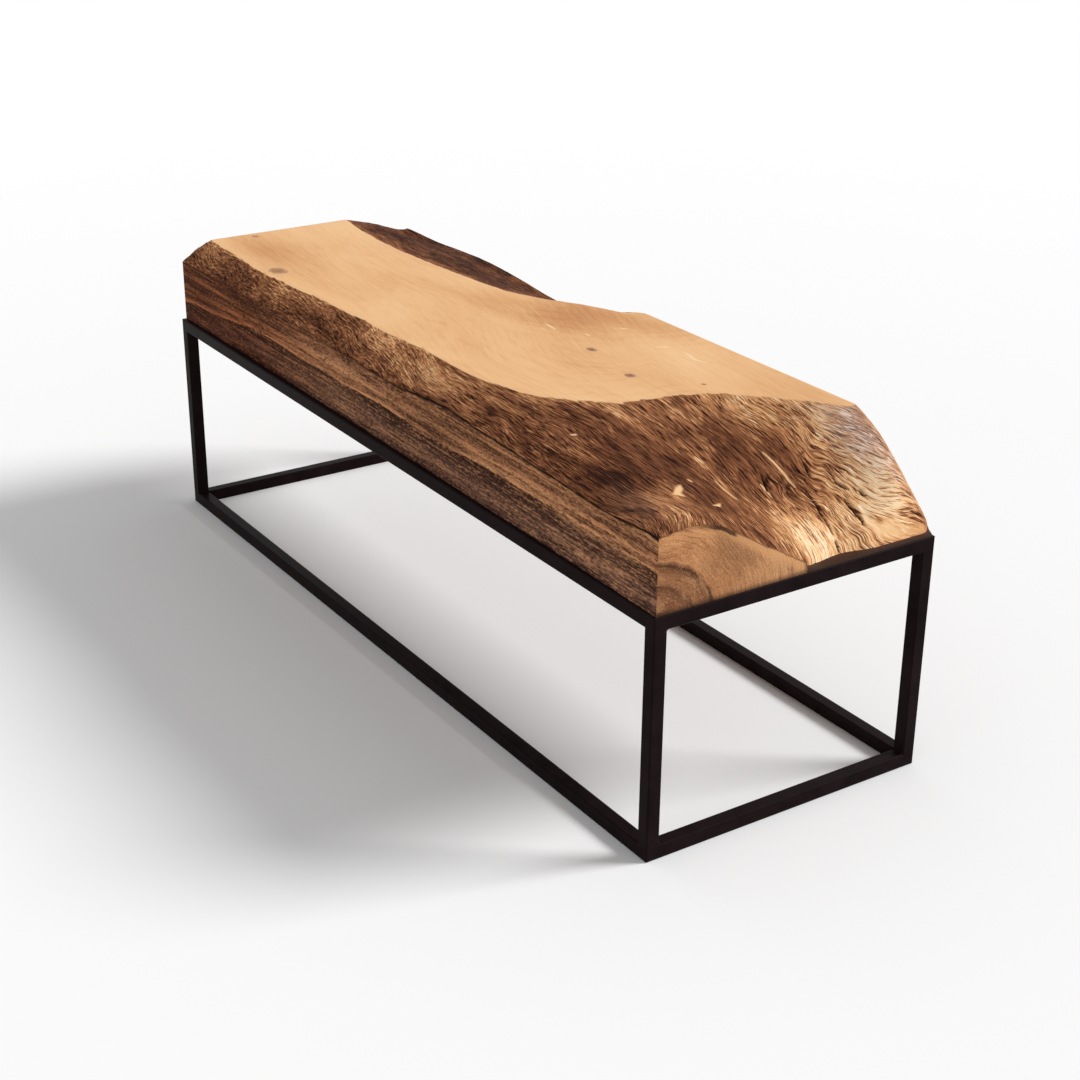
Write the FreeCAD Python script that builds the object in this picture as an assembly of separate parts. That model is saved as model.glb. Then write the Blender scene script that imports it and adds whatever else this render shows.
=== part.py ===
import FreeCAD, Part
import math
import os

# Log bench: a waney log lying on an open frame of welded square tube.
# Millimetres. The origin is on the floor under the middle of the bench.
# X runs along the bench towards its sloping near end, -Y is the front, +Z is up.

Vector = FreeCAD.Vector
UP = Vector(0, 0, 1)

# Frame of square steel tube
FRAME_LENGTH = 1370.0
FRAME_DEPTH = 450.0
FRAME_HEIGHT = 340.0
TUBE = 20.0
TUBE_WALL = 2.0
TUBE_CORNER = 2.5

# Welds: the legs of each fillet
CORNER_WELD = 5.0
TAB_WELD = 3.0

# Log, set in a little from the frame's outer faces
LOG_THICKNESS = 130.0
LOG_FAR_INSET = 1.5
LOG_NEAR_INSET = 2.0
LOG_BACK_INSET = 3.0
FRONT_INSET_FAR = 8.0
FRONT_INSET_MIDDLE = 9.5
FRONT_INSET_NEAR = 3.5

# Waney stretch of the log's near end: how far it draws in, and where, over the half depth
NEAR_WANE = 15.0
NEAR_WANE_SHARES = [
    (0.03, 0.00),
    (0.27, 0.85),
    (0.44, 1.00),
    (0.58, 0.95),
    (0.76, 0.67),
    (0.93, 0.30),
]
NEAR_CORNER_SHARE = 0.73

# Natural skin of the log, as a table of offsets. Each row is a station along the frame's length,
# from the far end; each column is a line across its half depth, from the front.
# A height is a share of the log's thickness, and what stands above 1 is sawn away by the flat top.
SKIN_LINE_SHARES = [-1.00, -0.82, -0.66, -0.40, -0.10, 0.20, 0.45, 0.72, 1.00]
SKIN_HEIGHT_SHARES = {
    0.00: [0.72, 0.93, 1.03, 1.09, 1.12, 1.08, 0.99, 0.86, 0.75],
    0.04: [0.75, 0.93, 1.04, 1.09, 1.11, 1.06, 0.98, 0.86, 0.76],
    0.08: [0.77, 0.93, 1.04, 1.09, 1.10, 1.05, 0.97, 0.86, 0.75],
    0.17: [0.77, 0.96, 1.06, 1.10, 1.09, 1.04, 0.97, 0.87, 0.78],
    0.30: [0.77, 0.92, 1.03, 1.10, 1.12, 1.07, 0.98, 0.85, 0.72],
    0.42: [0.76, 0.91, 1.02, 1.09, 1.13, 1.11, 1.04, 0.90, 0.70],
    0.47: [0.74, 0.90, 1.01, 1.08, 1.13, 1.13, 1.09, 1.01, 0.82],
    0.52: [0.73, 0.88, 1.00, 1.08, 1.13, 1.14, 1.12, 1.07, 0.97],
    0.64: [0.80, 0.92, 0.99, 1.07, 1.11, 1.13, 1.13, 1.12, 1.09],
    0.72: [0.77, 0.89, 0.95, 1.00, 1.04, 1.08, 1.11, 1.13, 1.14],
    0.78: [0.76, 0.87, 0.92, 0.95, 0.97, 0.98, 1.02, 1.08, 1.12],
    0.84: [0.75, 0.86, 0.90, 0.89, 0.86, 0.83, 0.86, 0.99, 1.09],
    0.90: [0.73, 0.83, 0.86, 0.80, 0.67, 0.57, 0.54, 0.69, 0.89],
    0.95: [0.74, 0.82, 0.82, 0.71, 0.48, 0.31, 0.26, 0.38, 0.49],
    1.00: [0.78, 0.81, 0.78, 0.56, 0.23, -0.02, -0.08, 0.00, 0.00],
}

# Fixing tabs of flat bar, welded inside the top ring a little below its top
TAB_WIDTH = 40.0
TAB_REACH = 30.0
TAB_THICKNESS = 4.0
TAB_CORNER = 6.0
TAB_DROP = 3.0
SLOT_WIDTH = 9.0
SLOT_LENGTH = 14.0
SLOT_OFFSET = 15.0
TAB_SHARE = 0.50

# Coach screws and their washers
SCREW_DIAMETER = 8.0
SCREW_LENGTH = 50.0
SCREW_TIP = 6.0
HEAD_WIDTH = 13.0
HEAD_HEIGHT = 5.5
HEAD_SIDES = 6
WASHER_DIAMETER = 24.0
WASHER_BORE = 8.6
WASHER_THICKNESS = 2.0
PILOT_CLEARANCE = 0.05
PILOT_OVERRUN = 2.0

# Extra reach of the cutting tools past what they cut
OVERRUN = 5.0

half_length = FRAME_LENGTH / 2
half_depth = FRAME_DEPTH / 2
leg_height = FRAME_HEIGHT - 2 * TUBE
tab_top = FRAME_HEIGHT - TAB_DROP
tab_bottom = tab_top - TAB_THICKNESS
washer_bottom = tab_bottom - WASHER_THICKNESS
screw_bite = SCREW_LENGTH - WASHER_THICKNESS - TAB_THICKNESS - TAB_DROP


def placed(shape, place, degrees=0.0):
    """A copy of the shape turned about Z and then moved."""
    moved = shape.copy()
    moved.Placement = FreeCAD.Placement(place, FreeCAD.Rotation(UP, degrees)).multiply(shape.Placement)
    return moved


def face_of(edges):
    return Part.Face(Part.Wire(edges))


def line(start, end):
    return Part.LineSegment(start, end).toShape()


def upright_edges(shape):
    """The straight edges that run along Z."""
    slope = math.cos(math.pi / 4)
    return [edge for edge in shape.Edges if abs(edge.tangentAt(edge.FirstParameter).z) > slope]


def square_bar(size, length):
    """A square bar standing on its lower end, centred on the Z axis."""
    return Part.makeBox(size, size, length, Vector(-size / 2, -size / 2, 0))


def rounded_bar(length):
    """A bar with the tube's outside form."""
    bar = square_bar(TUBE, length)
    return bar.makeFillet(TUBE_CORNER, upright_edges(bar))


def square_tube(length):
    bore = square_bar(TUBE - 2 * TUBE_WALL, length)
    return rounded_bar(length).cut(bore)


def mitre_plan(length):
    """Plan of a mitred rail whose outer face is on Y = 0, with its sharp corners dressed round."""
    dressed = TUBE_CORNER * (1 - math.sqrt(0.5))
    tip = length / 2 - dressed
    turn = length / 2 - TUBE_CORNER
    inner = length / 2 - TUBE
    middle = TUBE_CORNER * math.sin(math.pi / 8)
    rise = TUBE_CORNER * (1 - math.cos(math.pi / 8))
    near_arc = Part.Arc(Vector(turn, 0, 0), Vector(turn + middle, rise, 0), Vector(tip, dressed, 0))
    far_arc = Part.Arc(Vector(-tip, dressed, 0), Vector(-turn - middle, rise, 0), Vector(-turn, 0, 0))
    return face_of([
        line(Vector(-turn, 0, 0), Vector(turn, 0, 0)),
        near_arc.toShape(),
        line(Vector(tip, dressed, 0), Vector(inner, TUBE, 0)),
        line(Vector(inner, TUBE, 0), Vector(-inner, TUBE, 0)),
        line(Vector(-inner, TUBE, 0), Vector(-tip, dressed, 0)),
        far_arc.toShape(),
    ])


def mitred_rail(length):
    """A rail along X, with its outer face on Y = 0 and its underside on Z = 0."""
    tube = square_tube(length)
    tube.rotate(Vector(0, 0, 0), Vector(0, 1, 0), 90)
    tube.translate(Vector(-length / 2, TUBE / 2, TUBE / 2))
    return tube.common(mitre_plan(length).extrude(Vector(0, 0, TUBE)))


def ring_rails(base):
    """The four rails of a ring whose underside is at the given height."""
    long_rail = mitred_rail(FRAME_LENGTH)
    end_rail = mitred_rail(FRAME_DEPTH)
    return {
        "front": placed(long_rail, Vector(0, -half_depth, base)),
        "near": placed(end_rail, Vector(half_length, 0, base), 90),
        "back": placed(long_rail, Vector(0, half_depth, base), 180),
        "far": placed(end_rail, Vector(-half_length, 0, base), -90),
    }


def legs():
    leg = square_tube(leg_height)
    x = half_length - TUBE / 2
    y = half_depth - TUBE / 2
    return {
        "front_near": placed(leg, Vector(x, -y, TUBE)),
        "front_far": placed(leg, Vector(-x, -y, TUBE)),
        "back_near": placed(leg, Vector(x, y, TUBE)),
        "back_far": placed(leg, Vector(-x, y, TUBE)),
    }


def hollow_fillet(size, length):
    """A weld in the corner of two faces: it fills -X and -Z from the Y axis, with a hollow face."""
    near = size * (1 - math.sqrt(0.5))
    hollow = Part.Arc(Vector(-size, 0, 0), Vector(-near, 0, -near), Vector(0, 0, -size))
    section = face_of([
        line(Vector(0, 0, 0), Vector(-size, 0, 0)),
        hollow.toShape(),
        line(Vector(0, 0, -size), Vector(0, 0, 0)),
    ])
    section.translate(Vector(0, -length / 2, 0))
    return section.extrude(Vector(0, length, 0))


def corner_weld(rails):
    """The weld of the front near leg to the top ring: the dressed fill on its two outer faces,
    where the rails' rounded edges leave a groove, and a hollow fillet on its two inner faces."""
    underside = FRAME_HEIGHT - TUBE
    x = half_length - TUBE / 2
    y = -half_depth + TUBE / 2
    fill = placed(rounded_bar(TUBE_CORNER), Vector(x, y, underside))
    core = Part.makeBox(TUBE + OVERRUN, TUBE + OVERRUN, TUBE_CORNER + 2 * OVERRUN)
    core.translate(Vector(
        half_length - TUBE_WALL - TUBE - OVERRUN,
        -half_depth + TUBE_WALL,
        underside - OVERRUN,
    ))
    fill = fill.cut(core).cut(rails["front"]).cut(rails["near"])
    bead = hollow_fillet(CORNER_WELD, TUBE - 2 * TUBE_CORNER)
    under_front = placed(bead, Vector(half_length - TUBE, y, underside))
    under_near = placed(bead, Vector(x, -half_depth + TUBE, underside), -90)
    return Part.makeCompound(fill.Solids + [under_front, under_near])


def four_corners(shape):
    """The shape at the front near corner, and its mirror images at the other three."""
    along = shape.mirror(Vector(0, 0, 0), Vector(1, 0, 0))
    pair = shape.Solids + along.Solids
    across = Part.makeCompound(pair).mirror(Vector(0, 0, 0), Vector(0, 1, 0))
    return Part.makeCompound(pair + across.Solids)


def slot_face():
    """A slot with round ends along Y, centred on the origin."""
    reach = (SLOT_LENGTH - SLOT_WIDTH) / 2
    radius = SLOT_WIDTH / 2
    outer = Part.Arc(Vector(radius, reach, 0), Vector(0, reach + radius, 0), Vector(-radius, reach, 0))
    inner = Part.Arc(Vector(-radius, -reach, 0), Vector(0, -reach - radius, 0), Vector(radius, -reach, 0))
    return face_of([
        line(Vector(radius, -reach, 0), Vector(radius, reach, 0)),
        outer.toShape(),
        line(Vector(-radius, reach, 0), Vector(-radius, -reach, 0)),
        inner.toShape(),
    ])


def fixing_tab():
    """A tab with its welded edge on Y = 0 and its underside on Z = 0.
    Its slot for the screw runs across the bench, the way the log swells and shrinks."""
    plate = Part.makeBox(TAB_WIDTH, TAB_REACH, TAB_THICKNESS, Vector(-TAB_WIDTH / 2, 0, 0))
    free_corners = [edge for edge in upright_edges(plate) if edge.CenterOfMass.y > TAB_REACH / 2]
    plate = plate.makeChamfer(TAB_CORNER, free_corners)
    slot = slot_face().extrude(Vector(0, 0, TAB_THICKNESS))
    return plate.cut(placed(slot, Vector(0, SLOT_OFFSET, 0)))


def tab_places():
    """Each tab's name, its place on the rail's inner face, and its turn."""
    x = half_length * TAB_SHARE
    y = half_depth - TUBE
    return [
        ("front_far", Vector(-x, -y, tab_bottom), 0),
        ("front_near", Vector(x, -y, tab_bottom), 0),
        ("back_far", Vector(-x, y, tab_bottom), 180),
        ("back_near", Vector(x, y, tab_bottom), 180),
    ]


def screw_points():
    """Where each screw's axis crosses the underside of its tab."""
    offset = Vector(0, SLOT_OFFSET, 0)
    return [place + FreeCAD.Rotation(UP, turn).multVec(offset) for _, place, turn in tab_places()]


def tab_weld():
    """A fillet along the lower edge of a tab, against the rail."""
    bead = hollow_fillet(TAB_WELD, TAB_WIDTH - 2 * TAB_WELD)
    return placed(bead, Vector(0, 0, 0), -90)


def coach_screw():
    """A hexagon-headed wood screw pointing up, with the bearing face of its head on Z = 0."""
    radius = HEAD_WIDTH / 2 / math.cos(math.pi / HEAD_SIDES)
    turns = [2 * math.pi * side / HEAD_SIDES for side in range(HEAD_SIDES + 1)]
    rim = [Vector(radius * math.cos(turn), radius * math.sin(turn), -HEAD_HEIGHT) for turn in turns]
    head = Part.Face(Part.makePolygon(rim)).extrude(Vector(0, 0, HEAD_HEIGHT))
    shank = Part.makeCylinder(SCREW_DIAMETER / 2, SCREW_LENGTH - SCREW_TIP)
    tip = Part.makeCone(SCREW_DIAMETER / 2, 0, SCREW_TIP, Vector(0, 0, SCREW_LENGTH - SCREW_TIP))
    return head.fuse([shank, tip]).removeSplitter()


def washer():
    disc = Part.makeCylinder(WASHER_DIAMETER / 2, WASHER_THICKNESS)
    return disc.cut(Part.makeCylinder(WASHER_BORE / 2, WASHER_THICKNESS))


def sawn_log():
    """The log as the saw leaves it: flat faces all round but the waney stretch of its near end."""
    far = -half_length + LOG_FAR_INSET
    near = half_length - LOG_NEAR_INSET
    back = half_depth - LOG_BACK_INSET
    far_front = Vector(far, -half_depth + FRONT_INSET_FAR, FRAME_HEIGHT)
    mid_front = Vector(0, -half_depth + FRONT_INSET_MIDDLE, FRAME_HEIGHT)
    near_front = Vector(near, -half_depth + FRONT_INSET_NEAR, FRAME_HEIGHT)
    near_back = Vector(near - NEAR_WANE * NEAR_CORNER_SHARE, back, FRAME_HEIGHT)
    far_back = Vector(far, back, FRAME_HEIGHT)
    wane = [
        Vector(near - NEAR_WANE * inset, half_depth * across, FRAME_HEIGHT)
        for across, inset in NEAR_WANE_SHARES
    ]
    waney_end = Part.BSplineCurve()
    waney_end.interpolate(wane + [near_back])
    outline = face_of([
        Part.Arc(far_front, mid_front, near_front).toShape(),
        line(near_front, wane[0]),
        waney_end.toShape(),
        line(near_back, far_back),
        line(far_back, far_front),
    ])
    return outline.extrude(Vector(0, 0, LOG_THICKNESS))


def natural_skin():
    """The outside of the tree, as one smooth surface through the table of offsets."""
    surface = Part.BSplineSurface()
    surface.interpolate([
        [
            Vector(
                FRAME_LENGTH * station - half_length,
                half_depth * across,
                FRAME_HEIGHT + LOG_THICKNESS * height,
            )
            for across, height in zip(SKIN_LINE_SHARES, heights)
        ]
        for station, heights in SKIN_HEIGHT_SHARES.items()
    ])
    return surface.toShape()


def log():
    """The sawn log, less what lies outside the tree, bored for the screws."""
    outside = natural_skin().extrude(Vector(0, 0, 2 * LOG_THICKNESS))
    timber = sawn_log().cut(outside)
    bore_radius = SCREW_DIAMETER / 2 + PILOT_CLEARANCE
    for point in screw_points():
        mouth = Vector(point.x, point.y, FRAME_HEIGHT)
        timber = timber.cut(Part.makeCylinder(bore_radius, screw_bite + PILOT_OVERRUN, mouth))
    return timber


def build():
    nodes = {"log": log()}
    top_rails = ring_rails(FRAME_HEIGHT - TUBE)
    for name, rail in top_rails.items():
        nodes["top_rail_" + name] = rail
    for name, rail in ring_rails(0).items():
        nodes["bottom_rail_" + name] = rail
    for name, leg in legs().items():
        nodes["leg_" + name] = leg

    top_welds = four_corners(corner_weld(top_rails))
    nodes["corner_welds_top"] = top_welds
    nodes["corner_welds_bottom"] = top_welds.mirror(Vector(0, 0, FRAME_HEIGHT / 2), UP)

    tab_welds = []
    for name, place, turn in tab_places():
        nodes["tab_" + name] = placed(fixing_tab(), place, turn)
        tab_welds.append(placed(tab_weld(), place, turn))
    nodes["tab_welds"] = Part.makeCompound(tab_welds)

    washers = []
    screws = []
    for point in screw_points():
        seat = Vector(point.x, point.y, washer_bottom)
        washers.append(placed(washer(), seat))
        screws.append(placed(coach_screw(), seat))
    nodes["washers"] = Part.makeCompound(washers)
    nodes["coach_screws"] = Part.makeCompound(screws)
    return nodes


os.makedirs("parts", exist_ok=True)
for node, shape in build().items():
    shape.exportStep("parts/" + node + ".step")
    print(node, len(shape.Solids), "solids", round(shape.Volume), "mm3, valid:", shape.isValid())
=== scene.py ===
import math

import bpy
import numpy as np
from mathutils import Matrix, Vector
from mathutils.bvhtree import BVHTree
from mathutils.kdtree import KDTree


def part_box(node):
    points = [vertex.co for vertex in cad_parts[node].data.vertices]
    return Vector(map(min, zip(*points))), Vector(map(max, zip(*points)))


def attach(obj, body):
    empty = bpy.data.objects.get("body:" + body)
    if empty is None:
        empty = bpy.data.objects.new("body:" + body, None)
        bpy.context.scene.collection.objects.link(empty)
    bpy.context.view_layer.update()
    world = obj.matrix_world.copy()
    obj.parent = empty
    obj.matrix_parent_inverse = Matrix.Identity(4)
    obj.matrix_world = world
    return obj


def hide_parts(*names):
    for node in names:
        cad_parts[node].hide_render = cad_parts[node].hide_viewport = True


# Looks of the log bench, in metres, in the frame's own axes:
# X along the bench towards its sloping end, -Y out of its front, Z up from the floor.

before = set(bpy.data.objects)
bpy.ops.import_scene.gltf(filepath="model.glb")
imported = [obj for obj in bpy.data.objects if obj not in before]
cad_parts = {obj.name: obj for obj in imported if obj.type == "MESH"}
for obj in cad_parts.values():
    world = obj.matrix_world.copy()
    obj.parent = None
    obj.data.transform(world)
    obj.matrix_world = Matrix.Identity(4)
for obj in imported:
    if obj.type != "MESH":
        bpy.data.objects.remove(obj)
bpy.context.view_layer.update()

# Camera, at the photograph's viewing angle
CAMERA_PLACE = Vector((2.27149, -1.43415, 1.33208))
CAMERA_RIGHT = Vector((0.548046, 0.836414, 0.007594))
CAMERA_UP = Vector((-0.345857, 0.218332, 0.912532))
CAMERA_BACK = Vector((0.761596, -0.502736, 0.408935))
CAMERA_LENS = 63.234
CAMERA_SENSOR = 36.0

# Steps of the log's mesh along X, before and on the sloping end, and across Y
FAR_STEP = 0.0024
NEAR_STEP = 0.0016
CROSS_STEP = 0.0016
SLOPE_START = 0.33
WALL_ROWS = 10
# How far inside its edges the CAD log is read
PLAN_INSET = 0.0004
HEIGHT_INSET = 0.0005
# How far below the top a point still counts as flat, and how far short of the end a row as waney
FLAT_SLACK = 0.0002
WANEY_SLACK = 0.0005

# Natural skin: how it meets the sanded top, its foot over the end rail, its lumps, ridges and folds
EDGE_RISE = 0.22
EDGE_ROUND = 0.0012
FOOT_ROUND = 0.006
FOOT_LEAST = 0.005
FOOT_ON_RAIL = 0.003
FOOT_BACK = 0.004
FOOT_STRETCH = 0.045
FOOT_FROM_Y = (0.07, 0.13)
FOOT_TO_Y = 0.205
LUMP_HEIGHT = 0.0008
BROAD_HEIGHT = 0.0015
RIDGE_HEIGHT = 0.0006
FINE_HEIGHT = 0.0003
FOLD_HEIGHT = 0.0036
RIM_REACH = 0.012
BARE_RANGE = 0.0024
# Length and width of the lumps, and of the ridges, folds and breaks in the folds along the fibres
LUMP_WAVE = (0.060, 0.040)
BROAD_WAVE = (0.150, 0.0190)
RIDGE_WAVE = (0.046, 0.0085)
FINE_WAVE = (0.022, 0.0050)
FOLD_WAVE = (0.040, 0.0100)
BREAK_WAVE = (0.050, 0.0240)
# Lips of the skin over the sawn faces below it
FRONT_LIP = 0.0032
FRONT_LIP_FROM_X = (-0.45, -0.15)
FRONT_LIP_TO_X = (0.655, 0.68)
FRONT_LIP_LENGTH = 0.035
NEAR_LIP = 0.0030
NEAR_LIP_FROM_Y = (-0.21, -0.18)
NEAR_LIP_TO_Y = (-0.14, -0.115)
LIP_START = 0.004
LIP_DEPTH = 0.030
# Limits along X and Y of the smoother scoop in the far back and of the thin wane along the far front
SCOOP_Y = (0.02, 0.08)
SCOOP_X = (0.05, 0.25)
WANE_X = (0.02, 0.24)
WANE_Y = (-0.12, 0.0)
# Limits of the back edge where the sanded top runs out over the skin, and how far down it runs
WORN_Y = (0.10, 0.14)
WORN_FROM_X = (-0.12, -0.06)
WORN_TO_X = (0.28, 0.34)
WORN_EDGE_X = (0.03, 0.06)
WORN_DROP = 0.006

# Which way the fibres of the skin run in plan, away from X: x, y, degrees
FIBRE_TURNS = [
    (0.53, 0.20, 35.0),
    (0.57, 0.19, 40.0),
    (0.60, 0.21, 60.0),
    (0.62, 0.19, 55.0),
    (0.65, 0.18, 70.0),
    (0.67, 0.17, 75.0),
    (0.68, 0.20, 80.0),
    (0.57, 0.14, 45.0),
    (0.59, 0.17, 15.0),
    (0.61, 0.15, 5.0),
    (0.64, 0.14, -10.0),
    (0.66, 0.15, 30.0),
    (0.65, 0.08, -20.0),
    (0.66, 0.04, -15.0),
    (0.63, 0.02, 15.0),
    (0.56, 0.03, -15.0),
    (0.52, 0.09, 10.0),
    (0.53, -0.06, 10.0),
    (0.66, -0.06, 20.0),
    (0.61, -0.15, 25.0),
    (0.67, -0.17, -45.0),
    (0.63, -0.19, -5.0),
    (0.47, 0.09, 24.0),
    (0.47, 0.13, 22.0),
    (0.60, 0.025, 22.0),
    (0.52, 0.01, -15.0),
    (0.63, -0.08, -35.0),
    (0.40, -0.13, -13.0),
    (0.31, -0.17, -14.0),
    (0.25, -0.16, -15.0),
    (0.20, -0.17, -16.0),
    (-0.06, -0.18, 8.0),
    (-0.10, -0.17, -16.0),
    (-0.59, -0.18, 20.0),
    (-0.63, -0.17, -30.0),
]
TURN_REACH = 0.024
# Which way the grain of the sanded top runs, in the same way
GRAIN_TURNS = [
    (-0.55, -0.05, -15.0),
    (-0.30, -0.05, -6.0),
    (-0.10, 0.00, -12.0),
    (0.02, 0.07, -28.0),
    (0.08, 0.02, -26.0),
    (0.24, -0.08, 16.0),
    (0.20, 0.14, -20.0),
    (0.30, 0.12, -14.0),
]
GRAIN_REACH = 0.090
TURN_STEP = 0.005
TURN_ROUNDS = 500
# Weight of straight grain beside the turns, and the share of the skin's drop that counts as way in plan
STRAIGHT_WEIGHT = 0.05
DROP_SHARE = 0.6
# That way runs along the fibres on the sloping end, by X, and else across them, by the side in Y
FIBRE_SLOPE_X = (0.25, 0.42)
FIBRE_SIDE_Y = (-0.10, 0.06)
# Sideways wander of the fibres, and their twist in the gnarled places: reach, length and width, seed
FIBRE_WANDER = [(0.0030, (0.11, 0.07), 11), (0.0005, (0.034, 0.022), 12)]
FIBRE_TWIST = [(0.0040, (0.030, 0.024), 13), (0.0016, (0.014, 0.011), 14)]
# Paler and darker places of the skin: x, y, reach along x, reach along y, strength
PALE_PLACES = [
    (0.650, 0.110, 0.075, 0.100, 0.75),
    (0.660, 0.040, 0.055, 0.050, 0.70),
    (0.640, 0.178, 0.042, 0.034, 0.65),
    (0.600, 0.185, 0.050, 0.035, 0.55),
    (0.510, 0.165, 0.055, 0.040, 0.80),
    (0.440, 0.105, 0.050, 0.035, 0.65),
    (0.660, -0.180, 0.060, 0.040, 0.30),
    (0.376, -0.060, 0.026, 0.008, 0.60),
    (0.600, -0.150, 0.050, 0.025, 0.30),
    (-0.050, -0.175, 0.090, 0.025, 0.45),
    (-0.640, -0.190, 0.050, 0.025, 0.35),
    (0.110, -0.180, 0.100, 0.025, 0.55),
    (0.420, -0.060, 0.050, 0.030, 0.30),
    (0.420, 0.020, 0.045, 0.030, 0.30),
    (0.520, -0.030, 0.040, 0.025, 0.25),
    (-0.340, -0.190, 0.080, 0.030, 0.30),
]
DARK_PLACES = [
    (0.490, -0.095, 0.120, 0.055, 0.60),
    (0.525, 0.105, 0.050, 0.016, 0.55),
    (-0.380, 0.160, 0.300, 0.080, 0.90),
    (0.628, -0.193, 0.022, 0.012, 0.50),
    (0.520, -0.175, 0.050, 0.035, 1.00),
    (0.605, -0.198, 0.045, 0.028, 0.90),
    (0.520, 0.040, 0.045, 0.030, 0.70),
    (0.600, -0.080, 0.040, 0.030, 0.50),
    (-0.600, 0.180, 0.100, 0.060, 0.60),
    (-0.280, 0.120, 0.060, 0.040, 0.30),
    (0.610, -0.010, 0.035, 0.022, 0.30),
]
# Silvery places of the skin, which also carry painted glints, in the same way
SILVER_AND_GLINT_PLACES = [
    (0.545, 0.192, 0.055, 0.022, 0.90),
    (0.605, 0.206, 0.030, 0.012, 0.50),
    (0.600, -0.185, 0.050, 0.025, 0.06),
]
# Places where the fibres are twisted, in the same way
GNARLED_PLACES = [
    (0.555, 0.130, 0.055, 0.050, 1.00),
    (0.625, 0.110, 0.060, 0.060, 0.80),
    (0.580, 0.050, 0.050, 0.040, 0.80),
    (0.400, 0.060, 0.070, 0.040, 0.40),
    (-0.150, -0.190, 0.160, 0.050, 0.60),
    (-0.500, -0.190, 0.160, 0.050, 0.60),
]
# Bare chips in the skin, each through its corners x, y
SKIN_CHIPS = [
    [(0.570, -0.105), (0.584, -0.111), (0.593, -0.121), (0.603, -0.122), (0.595, -0.136), (0.579, -0.119)],
    [(0.610, -0.073), (0.622, -0.083), (0.620, -0.094), (0.616, -0.084)],
    [(0.387, -0.146), (0.391, -0.139), (0.396, -0.140), (0.392, -0.147)],
]
CHIP_SOFT = 0.0010
CHIP_DEPTH = 0.0010
# Pale streaks of the skin, each through points x, y
PALE_STREAKS = [
    [(0.553, -0.038), (0.572, -0.037), (0.590, -0.031)],
    [(0.503, -0.033), (0.520, -0.030)],
    [(0.555, -0.083), (0.562, -0.081)],
    [(0.512, 0.073), (0.530, 0.077), (0.548, 0.080), (0.570, 0.081)],
    [(0.560, 0.031), (0.581, 0.033)],
]
STREAK_WIDTH = 0.0032
# Open cracks in the skin, each through points x, y
SKIN_CRACKS = [
    [(0.542, 0.117), (0.562, 0.114), (0.572, 0.124)],
    [(0.570, 0.088), (0.579, 0.091), (0.596, 0.094), (0.622, 0.089), (0.646, 0.082)],
    [(0.603, 0.135), (0.619, 0.135), (0.637, 0.133), (0.654, 0.128)],
    [(0.654, 0.079), (0.668, 0.074)],
    [(0.546, 0.043), (0.560, 0.038), (0.574, 0.032)],
    [(0.577, 0.136), (0.590, 0.144), (0.598, 0.148)],
    [(0.606, 0.158), (0.619, 0.159)],
]
CRACK_WIDTH = 0.0026
CRACK_DEPTH = 0.0040
# A smooth tongue of skin that runs round the near back corner, and its half width
SMOOTH_TONGUE = [
    (0.626, 0.145), (0.649, 0.138), (0.664, 0.144), (0.670, 0.160), (0.676, 0.186), (0.677, 0.216),
]
TONGUE_WIDTH = 0.011
# Smooth strip of skin along the back edge of the sloping end
BACK_STRIP = 0.010
STRIP_X = (0.42, 0.52)
STRIP_SHARE = 0.7
# How much of the relief is lost in the scoop, and on chips and smooth skin
SCOOP_CALM = 0.6
SMOOTH_CALM = 0.8

# Darker and paler places of the sawn front: x, z, reach along x, reach along z, strength
FRONT_DARK = [
    (-0.640, 0.405, 0.160, 0.026, 0.75),
    (-0.400, 0.424, 0.160, 0.020, 0.80),
    (-0.400, 0.344, 0.150, 0.014, 0.90),
    (0.150, 0.406, 0.130, 0.013, 0.80),
    (0.150, 0.344, 0.120, 0.012, 0.60),
    (0.250, 0.429, 0.180, 0.011, 0.40),
]
FRONT_PALE = [
    (-0.150, 0.415, 0.130, 0.009, 0.80),
    (-0.150, 0.378, 0.110, 0.010, 0.22),
    (0.350, 0.405, 0.120, 0.009, 0.45),
    (0.550, 0.396, 0.110, 0.008, 0.50),
    (0.550, 0.362, 0.130, 0.012, 0.25),
]

# Browner places of the sanded top: x, y, reach along x, reach along y, strength
TAN_PLACES = [
    (0.000, 0.110, 0.100, 0.060, 0.70),
    (0.030, 0.170, 0.120, 0.070, 0.66),
    (0.130, 0.205, 0.090, 0.040, 0.40),
    (-0.580, -0.100, 0.100, 0.040, 0.60),
    (-0.130, 0.060, 0.060, 0.040, 0.40),
    (0.440, 0.170, 0.090, 0.040, 0.50),
    (0.120, 0.020, 0.080, 0.040, 0.30),
]
# Light flecks of the sanded top, each through points x, y
TOP_FLECKS = [
    [(0.087, 0.147), (0.098, 0.154)],
    [(0.009, 0.065), (0.026, 0.064), (0.042, 0.062)],
    [(0.223, 0.161), (0.240, 0.158), (0.259, 0.153), (0.281, 0.157)],
    [(0.082, 0.087), (0.093, 0.089)],
    [(0.186, 0.142), (0.198, 0.154)],
]
FLECK_WIDTH = 0.0028
# Knots of the sanded top: x, y, half length, half width, strength
TOP_KNOTS = [
    (-0.664, -0.088, 0.009, 0.006, 0.55),
    (-0.452, -0.149, 0.020, 0.013, 0.70),
    (0.147, 0.054, 0.010, 0.006, 0.80),
    (0.268, 0.035, 0.009, 0.007, 0.80),
    (0.351, 0.099, 0.004, 0.003, 0.70),
]

# Heart of the growth rings on the cross-cut ends, in Y and Z, and a stain with its reach
HEART_Y = -0.240
HEART_Z = 0.300
STAIN_Y = -0.100
STAIN_Z = 0.402
STAIN_REACH_Y = 0.046
STAIN_REACH_Z = 0.036

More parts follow.
